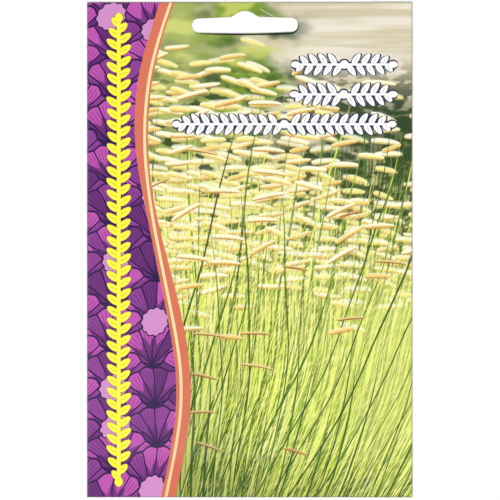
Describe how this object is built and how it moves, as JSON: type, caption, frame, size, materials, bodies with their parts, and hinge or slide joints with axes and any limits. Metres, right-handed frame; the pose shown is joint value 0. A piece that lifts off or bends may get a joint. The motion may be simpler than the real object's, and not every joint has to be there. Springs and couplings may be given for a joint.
{
  "type": "seed packet",
  "caption": "Flat printed paper seed packet, closed at both ends, with a hanging slot in its header and loose grass seeds inside.",
  "frame": {"origin": "middle of the packet's outline, on the surface its back lies on", "axes": "+X to the right seen from the front, +Y up the front towards the hanging slot, +Z out of the front"},
  "size_m": [0.098, 0.1492, 0.0028],
  "materials": {
    "paper": "gloss coated and printed outside, plain white inside",
    "adhesive": "dried clear-white glue film",
    "seed": "dry straw husk"
  },
  "bodies": {
    "root": {"paper_sheet": "paper", "top_seal": "adhesive", "bottom_seal": "adhesive", "seam_glue": "adhesive", "seed_01": "seed", "seed_02": "seed", "seed_03": "seed", "seed_04": "seed", "seed_05": "seed", "seed_06": "seed", "seed_07": "seed", "seed_08": "seed", "seed_09": "seed", "seed_10": "seed", "seed_11": "seed", "seed_12": "seed", "seed_13": "seed", "seed_14": "seed", "seed_15": "seed", "seed_16": "seed", "seed_17": "seed", "seed_18": "seed", "seed_19": "seed", "seed_20": "seed", "seed_21": "seed", "seed_22": "seed", "seed_23": "seed", "seed_24": "seed", "seed_25": "seed", "seed_26": "seed"}
  },
  "joints": []
}
